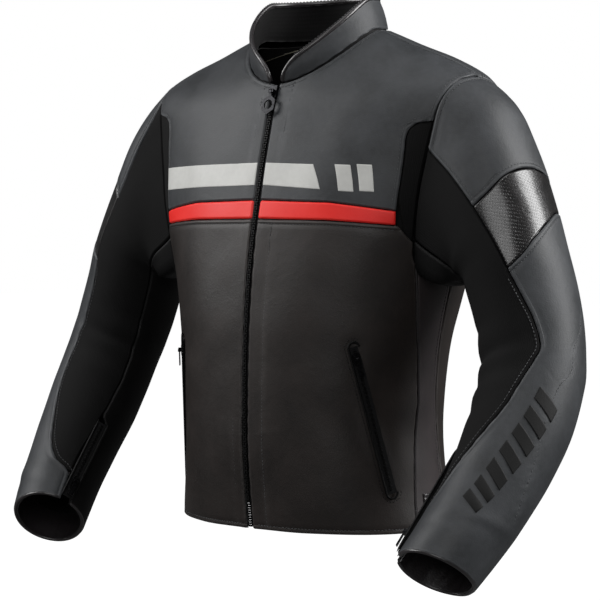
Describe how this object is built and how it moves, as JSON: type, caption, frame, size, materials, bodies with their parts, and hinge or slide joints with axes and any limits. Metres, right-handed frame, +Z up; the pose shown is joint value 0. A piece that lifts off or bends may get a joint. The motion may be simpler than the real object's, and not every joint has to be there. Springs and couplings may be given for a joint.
{
  "type": "motorcycle jacket",
  "caption": "Leather riding jacket with stand collar, front zip, zipped pockets, chest bands, stretch panels, and sleeves that swing at the shoulder and bend at the elbow.",
  "frame": {"origin": "middle of the hanging strap inside the back of the collar", "axes": "+Z up, -Y out of the front, +X towards the wearer's left"},
  "size_m": [0.7485, 0.3261, 0.6795],
  "materials": {
    "grey_leather": "matt fine grain",
    "white_leather": "smooth satin",
    "red_leather": "smooth satin",
    "brown_leather": "matt fine grain",
    "soft_brown_leather": "matt fine grain",
    "stretch_fabric": "fine rib knit",
    "gloss_leather": "glossy, patches perforated",
    "lining_mesh": "smooth lining",
    "tape": "woven tape",
    "zip_tape": "woven tape with moulded teeth",
    "black_metal": "black, worn edges",
    "foam": "soft moulded foam"
  },
  "bodies": {
    "jacket_body": {"front_yoke_left": "grey_leather", "front_yoke_right": "grey_leather", "white_stripe_left": "white_leather", "white_stripe_right": "white_leather", "red_band_left": "red_leather", "red_band_right": "red_leather", "lower_front_left": "brown_leather", "lower_front_right": "brown_leather", "armhole_stretch_left": "stretch_fabric", "armhole_stretch_right": "stretch_fabric", "side_panel_left": "soft_brown_leather", "side_panel_right": "soft_brown_leather", "back_yoke": "grey_leather", "lower_back": "brown_leather", "body_lining": "lining_mesh", "collar_outer": "grey_leather", "collar_lining": "lining_mesh", "collar_binding": "gloss_leather", "hanger_loop": "tape", "main_zip_left": "zip_tape", "main_zip_right": "zip_tape", "pocket_zip_left": "zip_tape", "pocket_zip_right": "zip_tape", "pocket_bag_left": "lining_mesh", "pocket_bag_right": "lining_mesh", "waist_tab_left": "gloss_leather", "waist_tab_right": "gloss_leather", "connection_zip": "zip_tape"},
    "main_slider": {"main_zip_slider": "black_metal"},
    "main_puller": {"main_zip_puller": "black_metal"},
    "pocket_slider_left": {"pocket_left_slider": "black_metal"},
    "pocket_puller_left": {"pocket_left_puller": "black_metal"},
    "upper_sleeve_left": {"sleeve_cap_left": "grey_leather", "bicep_patch_left": "gloss_leather", "upper_sleeve_outer_left": "grey_leather", "upper_sleeve_inner_left": "stretch_fabric", "elbow_lining_left": "lining_mesh", "shoulder_protector_left": "foam"},
    "forearm_left": {"forearm_outer_left": "grey_leather", "forearm_inner_left": "stretch_fabric", "cuff_facing_left": "gloss_leather", "elbow_protector_left": "foam", "cuff_zip_left": "zip_tape"},
    "cuff_slider_left": {"cuff_left_slider": "black_metal"},
    "cuff_puller_left": {"cuff_left_puller": "black_metal"},
    "pocket_slider_right": {"pocket_right_slider": "black_metal"},
    "pocket_puller_right": {"pocket_right_puller": "black_metal"},
    "upper_sleeve_right": {"sleeve_cap_right": "grey_leather", "bicep_patch_right": "gloss_leather", "upper_sleeve_outer_right": "grey_leather", "upper_sleeve_inner_right": "stretch_fabric", "elbow_lining_right": "lining_mesh", "shoulder_protector_right": "foam"},
    "forearm_right": {"forearm_outer_right": "grey_leather", "forearm_inner_right": "stretch_fabric", "cuff_facing_right": "gloss_leather", "elbow_protector_right": "foam", "cuff_zip_right": "zip_tape"},
    "cuff_slider_right": {"cuff_right_slider": "black_metal"},
    "cuff_puller_right": {"cuff_right_puller": "black_metal"}
  },
  "joints": [
    {"name": "main_zip_run", "type": "hinge", "parent": "jacket_body", "child": "main_slider", "pos_m": [0, 0.9556, -0.43], "axis": [1, 0, 0], "range_deg": [0, 24]},
    {"name": "main_puller_swing", "type": "hinge", "parent": "main_slider", "child": "main_puller", "pos_m": [0, -0.14431, -0.07525], "axis": [-1, 0, 0], "range_deg": [0, 150]},
    {"name": "pocket_zip_run_left", "type": "slide", "parent": "jacket_body", "child": "pocket_slider_left", "axis": [0.1556, 0.216, -0.9639], "range_m": [0, 0.145]},
    {"name": "pocket_puller_swing_left", "type": "hinge", "parent": "pocket_slider_left", "child": "pocket_puller_left", "pos_m": [0.13299, -0.1551, -0.37956], "axis": [-0.6, -0.7545, -0.266], "range_deg": [0, 150]},
    {"name": "shoulder_swing_left", "type": "hinge", "parent": "jacket_body", "child": "upper_sleeve_left", "pos_m": [0.209, -0.0554, -0.168], "axis": [-0.96, 0.24, 0.144], "range_deg": [-12, 40]},
    {"name": "elbow_bend_left", "type": "hinge", "parent": "upper_sleeve_left", "child": "forearm_left", "pos_m": [0.314, -0.0754, -0.391], "axis": [-0.9926, -0.0468, -0.1122], "range_deg": [-25, 28]},
    {"name": "cuff_zip_run_left", "type": "slide", "parent": "forearm_left", "child": "cuff_slider_left", "axis": [0.1566, 0.6139, 0.7737], "range_m": [0, 0.095]},
    {"name": "cuff_puller_swing_left", "type": "hinge", "parent": "cuff_slider_left", "child": "cuff_puller_left", "pos_m": [0.2422, -0.2152, -0.5555], "axis": [-0.4625, 0.7377, -0.4918], "range_deg": [0, 150]},
    {"name": "pocket_zip_run_right", "type": "slide", "parent": "jacket_body", "child": "pocket_slider_right", "axis": [-0.1556, 0.216, -0.9639], "range_m": [0, 0.145]},
    {"name": "pocket_puller_swing_right", "type": "hinge", "parent": "pocket_slider_right", "child": "pocket_puller_right", "pos_m": [-0.13299, -0.1551, -0.37956], "axis": [-0.6, 0.7545, 0.266], "range_deg": [0, 150]},
    {"name": "shoulder_swing_right", "type": "hinge", "parent": "jacket_body", "child": "upper_sleeve_right", "pos_m": [-0.209, -0.0554, -0.168], "axis": [-0.96, -0.24, -0.144], "range_deg": [-12, 40]},
    {"name": "elbow_bend_right", "type": "hinge", "parent": "upper_sleeve_right", "child": "forearm_right", "pos_m": [-0.314, -0.0754, -0.391], "axis": [-0.9926, 0.0468, 0.1122], "range_deg": [-25, 28]},
    {"name": "cuff_zip_run_right", "type": "slide", "parent": "forearm_right", "child": "cuff_slider_right", "axis": [-0.1032, 0.666, 0.7388], "range_m": [0, 0.08]},
    {"name": "cuff_puller_swing_right", "type": "hinge", "parent": "cuff_slider_right", "child": "cuff_puller_right", "pos_m": [-0.25062, -0.21074, -0.54157], "axis": [-0.4592, -0.6908, 0.5585], "range_deg": [0, 150]}
  ]
}
